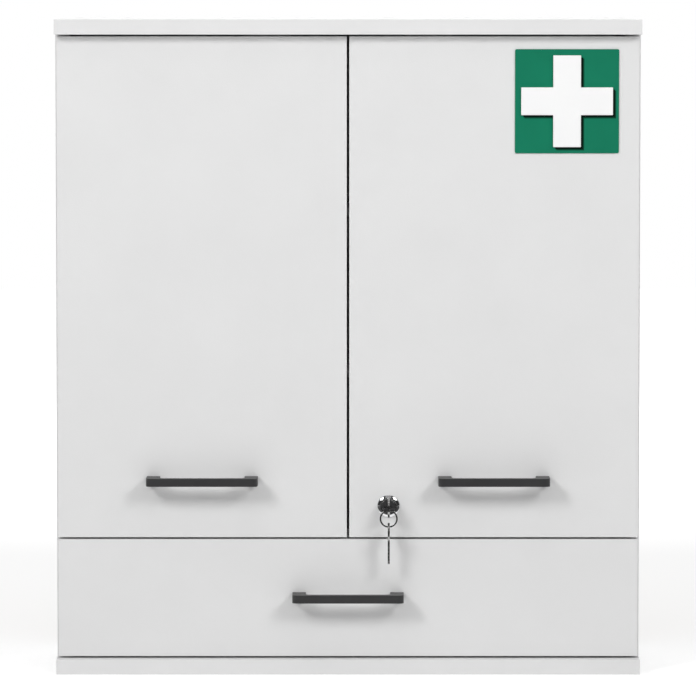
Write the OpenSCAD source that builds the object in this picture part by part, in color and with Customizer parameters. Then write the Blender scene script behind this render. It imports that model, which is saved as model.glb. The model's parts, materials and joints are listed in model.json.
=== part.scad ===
// Lockable medicine cabinet: two doors on concealed hinges over one drawer,
// with a cam lock in the right door and a slide bolt behind the left one.
// Millimetres. X is to the right, Y to the rear, Z up.
// The origin is at the centre of the underside of the bottom board.

/* [Cabinet] */
// Overall width over the top and bottom boards
cab_w = 580; // [560:1:640]
// Overall height
cab_h = 650; // [620:1:720]
// Depth of the top and bottom boards
cab_d = 220; // [215:1:260]
// Thickness of the carcass boards
board_t = 15; // [15:0.5:16]
// How far the top and bottom boards stand out in front of the fronts
board_lip = 12; // [8:1:18]
// Thickness of the back panel
back_t = 3; // [3:0.5:4]
// Depth of the grooves that hold thin panels
groove_depth = 6; // [5:0.5:8]
// Height of the hanging rail behind the back panel
rail_h = 70; // [60:1:90]
// Thickness of the hanging rail
rail_t = 15; // [15:0.5:18]
// Distance between the two wall screws
wall_hole_spacing = 480; // [400:1:500]
// Diameter of the wall screw holes
wall_hole_d = 7; // [6:0.5:8]

/* [Fronts] */
// Thickness of the doors and of the drawer front
front_t = 15; // [15:0.5:16]
// Height of the drawer front
drawer_front_h = 117; // [112:1:140]
// Gap above and below each front
front_gap = 2; // [1.5:0.5:3]
// Gap between the two doors
centre_gap = 2.5; // [2:0.5:4]
// How far the fronts stay back from the ends of the boards
side_reveal = 2; // [1.5:0.5:3]
// Gap between the closed fronts and the carcass, bridged by the buffers
buffer_gap = 2; // [1.8:0.1:2.5]

/* [Shelves] */
// Thickness of the loose shelves
shelf_t = 15; // [12:1:18]
// Height of the lower loose shelf, as a share of the space behind the doors
lower_shelf_share = 0.305; // [0.28:0.005:0.33]
// Height of the upper loose shelf, as a share of the space behind the doors
upper_shelf_share = 0.63; // [0.6:0.005:0.66]
// How far the loose shelves stay back from the carcass front
shelf_setback = 20; // [16:1:40]
// Diameter of the shelf pins
pin_d = 5; // [4:0.5:6]
// Distance of the shelf pins from the front and back edges of their shelf
pin_in = 30; // [20:1:40]
// Distance between two holes in a row of shelf-pin holes
pin_pitch = 32; // [26:1:36]

/* [Handles] */
// Distance between the two handle screws
handle_spacing = 96; // [80:1:128]
// Overall length of a handle beyond its screw spacing
handle_over = 14.5; // [12:0.5:18]
// How far a handle stands out from its front
handle_reach = 28; // [25:1:34]
// Height of the handle bar, seen from the front
handle_h = 8; // [7:0.5:10]
// Thickness of the handle bar, front to rear
handle_bar_t = 8; // [6:0.5:10]
// Width of a handle leg
handle_leg_w = 13.3; // [11:0.1:14]
// Distance of a door handle from the middle of the cabinet
door_handle_x = 144.6; // [110:0.1:170]
// Height of a door handle above the lower edge of the door
door_handle_rise = 57; // [50:1:90]
// Height of the drawer handle above the lower edge of the drawer front
drawer_handle_rise = 60; // [50:1:70]
// Diameter of the handle screws
handle_screw_d = 4; // [3.5:0.5:5]

/* [Lock] */
// Distance of the lock from the middle of the cabinet
lock_x = 40.3; // [38:0.1:60]
// Height of the lock above the lower edge of the door
lock_rise = 31; // [30:0.5:40]
// Diameter of the lock rosette
rosette_d = 22.5; // [22:0.5:26]
// How far the rosette stands out from the door
rosette_t = 3.2; // [2.5:0.1:5]
// Diameter of the lock body that passes through the door
barrel_d = 19; // [18.5:0.5:20]
// Diameter of the turning plug
plug_d = 15; // [14:0.5:16]
// Length of the cam from the lock axis to its tip
cam_reach = 20; // [18:0.5:21]
// Width of the cam
cam_w = 12; // [9:0.5:14]
// Thickness of the cam and of the strike plate
cam_t = 2; // [1.5:0.1:3]
// Height of the strike plate above the fixed shelf
strike_h = 12; // [10:0.5:13]
// Width of the strike plate
strike_w = 36; // [30:1:50]

/* [Keys] */
// Length of a key from bow to tip
key_len = 41; // [36:1:48]
// Thickness of a key
key_t = 2; // [1.8:0.1:2.4]
// Length of the key bow
bow_len = 18; // [16:1:22]
// Width of the key bow
bow_w = 20; // [17:1:24]
// Width of the key blade
blade_w = 7.6; // [6:0.1:8]
// Length of the key neck between bow and lock
neck_len = 6; // [4:0.5:8]
// Diameter of the hole in the key bow
bow_hole_d = 5; // [4:0.5:6]
// Centre-line diameter of the key ring
ring_d = 17; // [16:0.5:24]
// Wire diameter of the key ring
ring_wire_d = 1.2; // [1:0.1:1.6]

/* [Drawer] */
// Thickness of the drawer sides and back
drawer_board_t = 12; // [12:0.5:14]
// Side clearance between carcass and drawer on each side
runner_gap = 12.5; // [12.5:0.1:13]
// Height of the drawer sides
drawer_side_h = 90; // [80:1:95]
// Height of the underside of the drawer sides above the bottom board
drawer_lift = 9; // [8:0.5:12]
// Free space between the drawer box and the back panel
drawer_back_room = 15; // [10:1:30]
// Height of the drawer bottom above the underside of the sides
drawer_bottom_rise = 10; // [8:0.5:14]
// Thickness of the drawer bottom
drawer_bottom_t = 3; // [3:0.5:4]
// Diameter of the runner rollers
roller_d = 16; // [14:0.5:18]
// Width of the runner rollers
roller_w = 6.5; // [5:0.5:7]
// Thickness of the runner steel
runner_t = 1; // [1:0.1:1.4]

/* [Hinges] */
// Depth of the hinge axis below the rear face of the door
axis_depth = 9.2; // [8.8:0.1:9.4]
// Diameter of the hinge cup
cup_d = 35; // [34:0.5:36]
// Height of the upper hinge below the upper edge of the door
hinge_top_inset = 90; // [70:1:120]
// Height of the lower hinge above the lower edge of the door
hinge_bottom_inset = 110; // [90:1:120]
// Width of the hinge arm
arm_w = 14; // [12:0.5:15]
// Thickness of the hinge arm
arm_t = 2.5; // [2:0.1:2.8]
// Diameter of the hinge pin
hinge_pin_d = 2.5; // [2:0.1:2.8]
// Distance of the mounting plate's centre behind the carcass front
plate_setback = 37; // [37:1:42]

/* [Catches] */
// Distance of the magnetic catches from the middle of the cabinet
catch_x = 80; // [65:1:140]
// Distance of the slide bolt from the middle of the cabinet
bolt_x = 18; // [16:0.5:30]
// Diameter of the slide bolt
bolt_d = 6; // [5:0.5:7]
// Travel of the slide bolt
bolt_travel = 10; // [8:0.5:11]

/* [Hidden] */
$fn = 64;
// Clearances
run = 0.05;      // radial, shaft turning in a bore
seat = 0.3;      // beside a piece that moves or is laid in
fix = 0.1;       // round a fixed screw or insert
// Places along Y
y_front = -cab_d / 2;
y_back = cab_d / 2;
y_face = y_front + board_lip;
y_rear = y_face + front_t;
y_case = y_rear + buffer_gap;
y_rail = y_back - rail_t;
y_panel = y_rail - back_t;
// Places along X
half_w = cab_w / 2;
in_w = half_w - board_t;
front_half_w = half_w - side_reveal;
// Places along Z
z_floor = board_t;
z_ceil = cab_h - board_t;
drawer_z0 = z_floor + front_gap;
drawer_z1 = drawer_z0 + drawer_front_h;
door_z0 = drawer_z1 + front_gap;
door_z1 = z_ceil - front_gap;
divider_z0 = (drawer_z1 + door_z0 - board_t) / 2;
divider_z1 = divider_z0 + board_t;
groove_slack = 0.5;
// Buffers
buffer_d = 5.5;
buffer_t = buffer_gap - seat;
buffer_in = 48;          // from the ends of a front

// ---- helpers ----
// Block between two corners
module block(lo, hi) {
    translate(lo) cube([hi[0] - lo[0], hi[1] - lo[1], hi[2] - lo[2]]);
}
// Cylinders that start at p and run along +X, +Y or +Z
module rod_x(p, r, l) {
    translate(p) rotate([0, 90, 0]) cylinder(r = r, h = l);
}
module rod_y(p, r, l) {
    translate(p) rotate([-90, 0, 0]) cylinder(r = r, h = l);
}
module rod_z(p, r, l) {
    translate(p) cylinder(r = r, h = l);
}
// The children and their mirror image in the plane x = 0
module both_sides() {
    children();
    mirror([1, 0, 0]) children();
}
// Screw along +Y: head at p, shaft towards -Y
module screw_to_front(p, head_r, head_t, r, l) {
    rod_y(p, head_r, head_t);
    rod_y([p[0], p[1] - l, p[2]], r, l);
}

// ---- carcass boards ----
// Cam fittings: housings in the sides or under the fixed shelf, bolts in the boards
fit_r = 7.5;
fit_depth = 12;
fit_in = 26;             // from the end of the side to the housing's centre
fit_bolt_r = 3;
fit_bolt_hold = 9;       // length of the bolt in the neighbouring board
fit_front_in = 45;
fit_back_in = 40;
fit_y = [y_case + fit_front_in, y_panel - fit_back_in];
fit_x = in_w + board_t / 2;
// Confirmat screws hold the fixed shelf through the sides
conf_r = 3;
conf_len = 50;
conf_head_r = 5;
conf_head_t = 3;
conf_z = (divider_z0 + divider_z1) / 2;

module groove_box() {
    reach = groove_depth;
    block([-in_w - reach, y_panel, z_floor - reach], [in_w + reach, y_rail + 0.2, z_ceil + reach]);
}
// Bore for the cam bolt, from z0 upwards
module bolt_bores(z0, l, r) {
    both_sides() for (y = fit_y) rod_z([fit_x, y, z0], r, l);
}
module top_board() {
    color("whitesmoke") difference() {
        block([-half_w, y_front, z_ceil], [half_w, y_back, cab_h]);
        groove_box();
        bolt_bores(z_ceil - 1, fit_bolt_hold + 1, fit_bolt_r + run);
        rod_z([-bolt_x, bolt_y, z_ceil - 1], bolt_d / 2 + seat, bolt_hole + 1);
    }
}
module bottom_board() {
    color("whitesmoke") difference() {
        block([-half_w, y_front, 0], [half_w, y_back, z_floor]);
        groove_box();
        bolt_bores(z_floor - fit_bolt_hold, fit_bolt_hold + 1, fit_bolt_r + run);
    }
}
module side_board() {
    difference() {
        block([in_w, y_case, z_floor], [half_w, y_back, z_ceil]);
        groove_box();
        for (y = fit_y) {
            rod_x([in_w - 1, y, z_floor + fit_in], fit_r + fix, fit_depth + 1);
            rod_x([in_w - 1, y, z_ceil - fit_in], fit_r + fix, fit_depth + 1);
            rod_z([fit_x, y, z_floor - 1], fit_bolt_r + 0.8, fit_in);
            rod_z([fit_x, y, z_ceil - fit_in + 1], fit_bolt_r + 0.8, fit_in);
            rod_x([in_w - 1, y, conf_z], conf_r + run, board_t + 2);
            rod_x([half_w - conf_head_t, y, conf_z], conf_head_r + run, conf_head_t + 1);
        }
        for (z = pin_hole_zs, y = pin_ys) rod_x([in_w - 1, y, z - pin_d / 2], pin_d / 2 + run, pin_hold + 1);
        for (z = hinge_zs) plate_bores(z);
        runner_bores();
    }
}
module left_side() {
    color("white") mirror([1, 0, 0]) side_board();
}
module right_side() {
    color("white") side_board();
}
module fixed_shelf() {
    color("white") difference() {
        block([-in_w, y_case, divider_z0], [in_w, y_panel, divider_z1]);
        both_sides() for (y = fit_y) {
            rod_x([in_w - conf_len, y, conf_z], conf_r + run, conf_len + 1);
        }
        for (x = strike_screw_xs) rod_z([x, strike_screw_y, divider_z1 - 10], small_r + run, 11);
    }
}
module back_panel() {
    reach = groove_depth - groove_slack;
    color("tan") difference() {
        block([-in_w - reach, y_panel, z_floor - reach], [in_w + reach, y_rail, z_ceil + reach]);
        wall_holes();
    }
}
module wall_holes() {
    z = z_ceil - rail_h / 2;
    for (x = [-wall_hole_spacing / 2, wall_hole_spacing / 2]) {
        rod_y([x, y_panel - 1, z], wall_hole_d / 2, back_t + rail_t + 2);
    }
}
module hanging_rail() {
    color("white") difference() {
        block([-in_w, y_rail, z_ceil - rail_h], [in_w, y_back, z_ceil]);
        wall_holes();
    }
}
module cam_fittings() {
    color("silver") both_sides() for (y = fit_y, end = [0, 1]) {
        z = end == 0 ? z_floor + fit_in : z_ceil - fit_in;
        difference() {
            rod_x([in_w, y, z], fit_r, fit_depth);
            rod_z([fit_x, y, z - (end == 0 ? fit_r + 1 : 2)], fit_bolt_r + 0.6, fit_r + 3);
            rod_x([in_w - 1, y, z], 2.5, 3);
        }
    }
}
module cam_bolts() {
    l = fit_in + fit_bolt_hold - 1;
    color("silver") both_sides() for (y = fit_y) {
        rod_z([fit_x, y, z_floor - fit_bolt_hold], fit_bolt_r, l);
        rod_z([fit_x, y, z_ceil - fit_in + 1], fit_bolt_r, l);
    }
}
module shelf_confirmats() {
    color("silver") both_sides() for (y = fit_y) {
        rod_x([half_w - conf_len, y, conf_z], conf_r, conf_len - conf_head_t);
        difference() {
            rod_x([half_w - conf_head_t, y, conf_z], conf_head_r, conf_head_t);
            translate([half_w - 2, y, conf_z]) rotate([0, 90, 0]) cylinder(r = 2.3, h = 3, $fn = 6);
        }
    }
}

// ---- loose shelves ----
door_space = z_ceil - divider_z1;
shelf_zs = [divider_z1 + lower_shelf_share * door_space, divider_z1 + upper_shelf_share * door_space];
shelf_y0 = y_case + shelf_setback;
shelf_y1 = y_panel - 1;
pin_ys = [shelf_y0 + pin_in, shelf_y1 - pin_in];
pin_spares = 2;           // empty holes in each row, towards the other shelf
pin_hole_zs = [for (i = [0:pin_spares]) each [shelf_zs[0] + i * pin_pitch, shelf_zs[1] - i * pin_pitch]];
pin_hold = 8;
pin_reach = 8;
collar_t = 0.8;
module shelf(z) {
    color("white") block([-in_w + 1, shelf_y0, z], [in_w - 1, shelf_y1, z + shelf_t]);
}
module lower_shelf() {
    shelf(shelf_zs[0]);
}
module upper_shelf() {
    shelf(shelf_zs[1]);
}
module shelf_pins() {
    color("silver") both_sides() for (z = shelf_zs, y = pin_ys) {
        rod_x([in_w - pin_reach, y, z - pin_d / 2], pin_d / 2, pin_reach + pin_hold);
        rod_x([in_w - collar_t, y, z - pin_d / 2], pin_d / 2 + 1.2, collar_t);
    }
}

// ---- hinges, drawn at the right side ----
// The axis lies so deep in the door and so near its edge that the edge
// swings past the carcass with swing_clear to spare.
swing_clear = 0.4;
rim_t = 1.2;
eye_r = hinge_pin_d / 2 + 0.95;
axis_in = sqrt(pow(axis_depth + buffer_gap - swing_clear, 2) - pow(axis_depth, 2));
rim_out = sqrt(pow(axis_depth + buffer_gap - 0.3, 2) - pow(axis_depth + rim_t, 2));
axis_x = front_half_w - axis_in;
axis_y = y_rear - axis_depth;
hinge_zs = [door_z1 - hinge_top_inset, door_z0 + hinge_bottom_inset];
slot_out = eye_r + 0.25;
slot_half = arm_w / 2 + 0.4;
slot_depth = axis_depth + eye_r + 0.4;
cup_depth = slot_depth + 0.6;
cheek_half = slot_half + 3.2;
cup_x = front_half_w - 3 - cup_d / 2;
plate_t = 2;
arm_lift = 4.2;           // from the side to the underside of the arm
arm_x0 = in_w - arm_lift - arm_t;
arm_y1 = y_case + plate_setback + 19;
slot_in = axis_x - arm_x0 + 1;
cup_screw_dx = 9.5;
cup_screw_dz = 24;
cup_screw_r = 1.75;
cup_screw_len = 11;
plate_screw_dz = 16;
plate_screw_r = 2.5;
plate_screw_len = 11;
fix_y = y_case + plate_setback + 8;
adjust_y = y_case + plate_setback - 11;

module cup_body(z, grow) {
    d = cup_depth + grow;
    rod_y([cup_x, y_rear - d, z], cup_d / 2 + grow, d);
    block([cup_x, y_rear - d, z - cheek_half - grow], [axis_x + rim_out + grow, y_rear, z + cheek_half + grow]);
}
module cup_slot(z) {
    block([axis_x - slot_in, y_rear - slot_depth, z - slot_half], [axis_x + slot_out, y_rear + rim_t + 1, z + slot_half]);
}
module cup_rim(z) {
    translate([0, y_rear + rim_t, 0]) rotate([90, 0, 0]) linear_extrude(rim_t) intersection() {
        union() {
            translate([cup_x, z]) circle(r = cup_d / 2 + 1.5);
            for (dz = [-cup_screw_dz, cup_screw_dz]) translate([cup_x - cup_screw_dx, z + dz]) circle(r = 5.5);
            translate([cup_x - cup_screw_dx - 5.5, z - cup_screw_dz]) square([11, 2 * cup_screw_dz]);
        }
        translate([cup_x - cup_d, z - cup_d]) square([axis_x + rim_out - cup_x + cup_d, 2 * cup_d]);
    }
}
module cup_screw_bores(z, r) {
    for (dz = [-cup_screw_dz, cup_screw_dz]) {
        rod_y([cup_x - cup_screw_dx, y_rear - cup_screw_len, z + dz], r, cup_screw_len + rim_t + 1);
    }
}
module cup_pin_bore(z) {
    rod_z([axis_x, axis_y, z - cheek_half - 1], hinge_pin_d / 2 + run, 2 * cheek_half + 2);
}
module hinge_cup(z) {
    difference() {
        union() {
            cup_body(z, 0);
            cup_rim(z);
        }
        cup_slot(z);
        cup_pin_bore(z);
        cup_screw_bores(z, cup_screw_r + run);
    }
}
module hinge_cups() {
    color("silver") for (z = hinge_zs) hinge_cup(z);
}
module cup_screws() {
    for (z = hinge_zs, dz = [-cup_screw_dz, cup_screw_dz]) {
        screw_to_front([cup_x - cup_screw_dx, y_rear + rim_t, z + dz], 3.6, 1.6, cup_screw_r, cup_screw_len);
    }
}
module hinge_arms() {
    color("silver") both_sides() for (z = hinge_zs) difference() {
        union() {
            rod_z([axis_x, axis_y, z - arm_w / 2], eye_r, arm_w);
            block([arm_x0, axis_y - arm_t / 2, z - arm_w / 2], [axis_x, axis_y + arm_t / 2, z + arm_w / 2]);
            block([arm_x0, axis_y - arm_t / 2, z - arm_w / 2], [arm_x0 + arm_t, arm_y1, z + arm_w / 2]);
            for (dz = [-arm_w / 2, arm_w / 2 - 1.6]) {
                block([arm_x0 + arm_t / 2, y_case + 18, z + dz], [in_w - plate_t, arm_y1, z + dz + 1.6]);
            }
        }
        rod_z([axis_x, axis_y, z - arm_w], hinge_pin_d / 2 + run, 2 * arm_w);
        rod_x([arm_x0 - 1, fix_y, z], 2.2, arm_t + 2);
        rod_x([arm_x0 - 1, adjust_y, z], 2.2, arm_t + 2);
    }
}
module hinge_pins() {
    l = 2 * cheek_half - 0.6;
    color("gray") both_sides() for (z = hinge_zs) rod_z([axis_x, axis_y, z - l / 2], hinge_pin_d / 2, l);
}
module hinge_plates() {
    color("silver") both_sides() for (z = hinge_zs) difference() {
        union() {
            block([in_w - plate_t, y_case + 16, z - 8.5], [in_w, arm_y1 + 3, z + 8.5]);
            block([in_w - plate_t, y_case + plate_setback - 6, z - 21.5], [in_w, y_case + plate_setback + 6, z + 21.5]);
            block([in_w - arm_lift, adjust_y - 5, z - 4.8], [in_w, fix_y + 5, z + 4.8]);
        }
        for (dz = [-plate_screw_dz, plate_screw_dz]) {
            rod_x([in_w - plate_t - 1, y_case + plate_setback, z + dz], plate_screw_r + run, plate_t + 2);
        }
        for (y = [adjust_y, fix_y]) rod_x([in_w - arm_lift - 1, y, z], 2 + run, arm_lift + 2);
    }
}
module plate_bores(z) {
    for (dz = [-plate_screw_dz, plate_screw_dz]) {
        rod_x([in_w - 1, y_case + plate_setback, z + dz], plate_screw_r + run, plate_screw_len + 1);
    }
}
// Plate screws into the side, clamp and adjusting screws through the arm
module hinge_screws() {
    color("silver") both_sides() for (z = hinge_zs) {
        for (dz = [-plate_screw_dz, plate_screw_dz]) {
            rod_x([in_w - plate_t, y_case + plate_setback, z + dz], plate_screw_r, plate_t + plate_screw_len - 0.5);
            rod_x([in_w - plate_t - 1.5, y_case + plate_setback, z + dz], 3.8, 1.5);
        }
        rod_x([arm_x0, fix_y, z], 2, arm_t + arm_lift);
        rod_x([arm_x0 - 2, fix_y, z], 3.8, 2);
        rod_x([arm_x0, adjust_y, z], 2, arm_t + arm_lift);
        rod_x([arm_x0 - 0.8, adjust_y, z], 3, 0.8);
    }
}

// ---- handles ----
handle_len = handle_spacing + handle_over;
handle_screw_grip = 11;
handle_head_r = 4;
handle_head_t = 2.4;
handle_round = 5;
handle_fillet = 4;
door_handle_z = door_z0 + door_handle_rise;
drawer_handle_z = drawer_z0 + drawer_handle_rise;
// Bow seen from above: legs at y = 0, bar in front of them
module bow_plan() {
    w = handle_len / 2;
    g = w - handle_leg_w;
    y1 = -handle_reach + handle_bar_t;
    difference() {
        union() {
            translate([-w, -handle_reach + handle_round]) square([2 * w, handle_reach - handle_round]);
            translate([-w + handle_round, -handle_reach]) square([2 * (w - handle_round), handle_reach]);
            for (x = [-w + handle_round, w - handle_round]) {
                translate([x, -handle_reach + handle_round]) circle(r = handle_round);
            }
        }
        translate([-g, y1 + handle_fillet]) square([2 * g, handle_reach]);
        translate([-g + handle_fillet, y1]) square([2 * (g - handle_fillet), handle_reach]);
        for (x = [-g + handle_fillet, g - handle_fillet]) translate([x, y1 + handle_fillet]) circle(r = handle_fillet);
    }
}
module bow_handle(x, z) {
    color("darkslategray") difference() {
        translate([x, y_face, z - handle_h / 2]) linear_extrude(handle_h) bow_plan();
        handle_bores(x, z, handle_screw_d / 2 + run, handle_screw_grip + 1);
    }
}
module handle_bores(x, z, r, l) {
    for (dx = [-handle_spacing / 2, handle_spacing / 2]) rod_y([x + dx, y_face - l, z], r, l + front_t + 1);
}
module handle_screws(x, z) {
    color("silver") for (dx = [-handle_spacing / 2, handle_spacing / 2]) difference() {
        screw_to_front([x + dx, y_rear, z], handle_head_r, handle_head_t, handle_screw_d / 2, front_t + handle_screw_grip);
        for (a = [0, 90]) translate([x + dx, y_rear + handle_head_t, z]) rotate([0, a, 0]) cube([4.4, 2, 0.9], center = true);
    }
}

// ---- doors ----
small_r = 1.5;            // radius of the small pan-head screws
door_in = centre_gap / 2; // inner edge of each door
module buffer_set(xs, z) {
    color("gainsboro") for (x = xs) rod_y([x, y_rear, z], buffer_d / 2, buffer_t);
}
door_buffer_z = (door_z0 + divider_z1) / 2;
drawer_buffer_z = (drawer_z1 + divider_z0) / 2;
buffer_xs = [door_in + 20, front_half_w - buffer_in];
module door_board() {
    difference() {
        block([door_in, y_face, door_z0], [front_half_w, y_rear, door_z1]);
        for (z = hinge_zs) {
            cup_body(z, fix);
            cup_screw_bores(z, cup_screw_r + run);
        }
        handle_bores(door_handle_x, door_handle_z, handle_screw_d / 2 + 0.3, 1);
    }
}
module left_door() {
    color("white") difference() {
        mirror([1, 0, 0]) door_board();
        for (dx = [-9, 9], dz = [8, guide_h - 8]) rod_y([-bolt_x + dx, y_rear - 9, guide_z + dz], small_r + run, 10);
    }
}
module right_door() {
    color("white") difference() {
        door_board();
        rod_y([lock_x, y_face - 1, lock_z], barrel_d / 2 + fix, front_t + 2);
    }
}
module left_hinge_cups() {
    mirror([1, 0, 0]) hinge_cups();
}
module right_hinge_cups() {
    hinge_cups();
}
module left_handle() {
    bow_handle(-door_handle_x, door_handle_z);
}
module right_handle() {
    bow_handle(door_handle_x, door_handle_z);
}
module left_handle_screws() {
    handle_screws(-door_handle_x, door_handle_z);
}
module right_handle_screws() {
    handle_screws(door_handle_x, door_handle_z);
}
module right_buffers() {
    buffer_set(buffer_xs, door_buffer_z);
}
module left_buffers() {
    buffer_set(-buffer_xs, door_buffer_z);
}

// ---- magnetic catches under the top board ----
catch_w = 46;
catch_h = 13;
catch_d = 15;
strike_t = 1.5;
catch_y = y_rear + strike_t + seat;
module catch_plate(x) {
    color("silver") block([x - catch_w / 2 + 4, y_rear, door_z1 - 12], [x + catch_w / 2 - 4, y_rear + strike_t, door_z1 - 1]);
}
module left_catch_plate() {
    catch_plate(-catch_x);
}
module right_catch_plate() {
    catch_plate(catch_x);
}
module door_catches() {
    color("ivory") both_sides() difference() {
        block([catch_x - catch_w / 2, catch_y, z_ceil - catch_h], [catch_x + catch_w / 2, catch_y + catch_d, z_ceil]);
        block([catch_x - catch_w / 2 + 6, catch_y - 1, z_ceil - catch_h + 4], [catch_x + catch_w / 2 - 6, catch_y + 6, z_ceil - 4]);
    }
}
// Magnet block and its two pole plates inside each catch
module catch_magnets() {
    color("gray") both_sides() {
        block([catch_x - catch_w / 2 + 6.5, catch_y, z_ceil - catch_h + 4.3], [catch_x + catch_w / 2 - 6.5, catch_y + 6, z_ceil - 4.3]);
    }
}

// ---- slide bolt on the left door ----
guide_h = 44;
guide_w = 28;
guide_t = 1.2;
guide_z = door_z1 - guide_h - 4;
bolt_hole = bolt_travel - 2;
bolt_y = y_rear + guide_t + seat + bolt_d / 2;
bolt_tip = door_z1 - 2;
bolt_len = guide_h + 4;
loop_z = [4, guide_h - 12];
knob_z = guide_z + 16;
module bolt_guide() {
    r = bolt_d / 2 + seat;
    color("silver") difference() {
        union() {
            block([-bolt_x - guide_w / 2, y_rear, guide_z], [-bolt_x + guide_w / 2, y_rear + guide_t, guide_z + guide_h]);
            for (z = loop_z) {
                rod_z([-bolt_x, bolt_y, guide_z + z], r + guide_t, 8);
                block([-bolt_x - r - guide_t, y_rear, guide_z + z], [-bolt_x + r + guide_t, bolt_y, guide_z + z + 8]);
            }
        }
        rod_z([-bolt_x, bolt_y, guide_z - 1], r, guide_h + 2);
        for (dx = [-9, 9], dz = [8, guide_h - 8]) {
            rod_y([-bolt_x + dx, y_rear - 1, guide_z + dz], small_r + run, guide_t + 2);
        }
    }
}
module door_bolt() {
    color("silver") {
        rod_z([-bolt_x, bolt_y, bolt_tip - bolt_len], bolt_d / 2, bolt_len - 1);
        translate([-bolt_x, bolt_y, bolt_tip - 1]) cylinder(r1 = bolt_d / 2, r2 = bolt_d / 2 - 1, h = 1);
        rod_y([-bolt_x, bolt_y, knob_z], 2, bolt_d / 2 + 7);
        rod_y([-bolt_x, bolt_y + bolt_d / 2 + 4, knob_z], 3.4, 4);
    }
}
// Cup screws of both hinges and the screws of the bolt guide
module left_door_screws() {
    color("silver") {
        mirror([1, 0, 0]) cup_screws();
        for (dx = [-9, 9], dz = [8, guide_h - 8]) {
            screw_to_front([-bolt_x + dx, y_rear + guide_t, guide_z + dz], 2.8, 1.2, small_r, 9.5);
        }
    }
}
module right_door_screws() {
    color("silver") cup_screws();
}

// ---- cam lock ----
lock_z = door_z0 + lock_rise;
rosette_r = rosette_d / 2;
barrel_r = barrel_d / 2;
plug_r = plug_d / 2;
nut_t = 4;
nut_flats = 21;
strike_y = y_case + seat;
cam_y = strike_y + cam_t + 0.5;
barrel_y1 = cam_y - 0.2;
plug_y0 = y_face - rosette_t + 0.5;
key_tip_y = plug_y0 + key_len - bow_len - neck_len;
square_w = plug_d * 0.47;
rosette_round = 2;
module about_lock() {
    translate([lock_x, y_face, lock_z]) rotate([90, 0, 0]) rotate_extrude() children();
}
module lock_housing() {
    color("silver") difference() {
        about_lock() difference() {
            union() {
                translate([0, y_face - barrel_y1]) square([barrel_r, barrel_y1 - y_face]);
                square([rosette_r, rosette_t - rosette_round]);
                square([rosette_r - rosette_round, rosette_t]);
                intersection() {
                    translate([rosette_r - rosette_round, rosette_t - rosette_round]) circle(r = rosette_round);
                    square([rosette_r, rosette_t]);
                }
            }
            translate([0, y_face - barrel_y1 - 1]) square([plug_r + run, 2 * front_t + 2 * rosette_t]);
            polygon([[plug_r, rosette_t - 1.1], [plug_r + 2, rosette_t + 0.9], [plug_r, rosette_t + 0.9]]);
        }
    }
}
module lock_nut() {
    color("silver") difference() {
        translate([lock_x, y_rear + nut_t, lock_z]) rotate([90, 0, 0]) {
            rotate([0, 0, 30]) cylinder(r = nut_flats / sqrt(3), h = nut_t, $fn = 6);
        }
        rod_y([lock_x, y_rear - 1, lock_z], barrel_r + run, nut_t + 2);
    }
}
module lock_plug() {
    color("gray") difference() {
        union() {
            rod_y([lock_x, plug_y0, lock_z], plug_r, barrel_y1 - plug_y0);
            block([lock_x - square_w / 2, barrel_y1 - 1, lock_z - square_w / 2], [lock_x + square_w / 2, cam_y + cam_t, lock_z + square_w / 2]);
        }
        block([lock_x - key_t / 2 - 0.1, plug_y0 - 1, lock_z - blade_w / 2 - 0.1],
            [lock_x + key_t / 2 + 0.1, key_tip_y + 0.4, lock_z + blade_w / 2 + 0.1]);
        rod_y([lock_x, cam_y + cam_t - cam_screw_len - 0.4, lock_z], 1.9 + run, cam_screw_len + 2);
    }
}
cam_screw_len = 5.5;
module lock_cam() {
    color("silver") difference() {
        union() {
            block([lock_x - cam_reach, cam_y, lock_z - cam_w / 2], [lock_x, cam_y + cam_t, lock_z + cam_w / 2]);
            rod_y([lock_x, cam_y, lock_z], cam_w / 2 + 1.5, cam_t);
        }
        translate([lock_x, cam_y + cam_t / 2, lock_z]) cube([square_w + 0.2, cam_t + 2, square_w + 0.2], center = true);
    }
}
module cam_screw() {
    color("silver") difference() {
        screw_to_front([lock_x, cam_y + cam_t, lock_z], 4.2, 2.4, 1.9, cam_screw_len);
        for (a = [0, 90]) translate([lock_x, cam_y + cam_t + 2.4, lock_z]) rotate([0, a, 0]) cube([4.6, 2, 1], center = true);
    }
}
strike_foot = 20;
strike_screw_y = strike_y + 13;
strike_screw_xs = [lock_x - strike_w / 2 + 8, lock_x + strike_w / 2 - 8];
module strike_plate() {
    color("silver") difference() {
        union() {
            block([lock_x - strike_w / 2, strike_y, divider_z1], [lock_x + strike_w / 2, strike_y + cam_t, divider_z1 + strike_h]);
            block([lock_x - strike_w / 2, strike_y, divider_z1], [lock_x + strike_w / 2, strike_y + strike_foot, divider_z1 + 1.5]);
        }
        for (x = strike_screw_xs) rod_z([x, strike_screw_y, divider_z1 - 1], small_r + run, 4);
    }
}
module strike_screws() {
    color("silver") for (x = strike_screw_xs) {
        rod_z([x, strike_screw_y, divider_z1 - 9.5], small_r, 11);
        rod_z([x, strike_screw_y, divider_z1 + 1.5], 2.8, 1.2);
    }
}

// ---- keys and ring ----
hole_s = 6;                              // from the end of the bow to the hole
bow_y0 = plug_y0 - neck_len - bow_len;   // outer end of the bow
hole_y = bow_y0 + hole_s;
wire_r = ring_wire_d / 2;
ring_top_z = lock_z - bow_hole_d / 2 + wire_r + run;
ring_z = ring_top_z - ring_d / 2;
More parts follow.
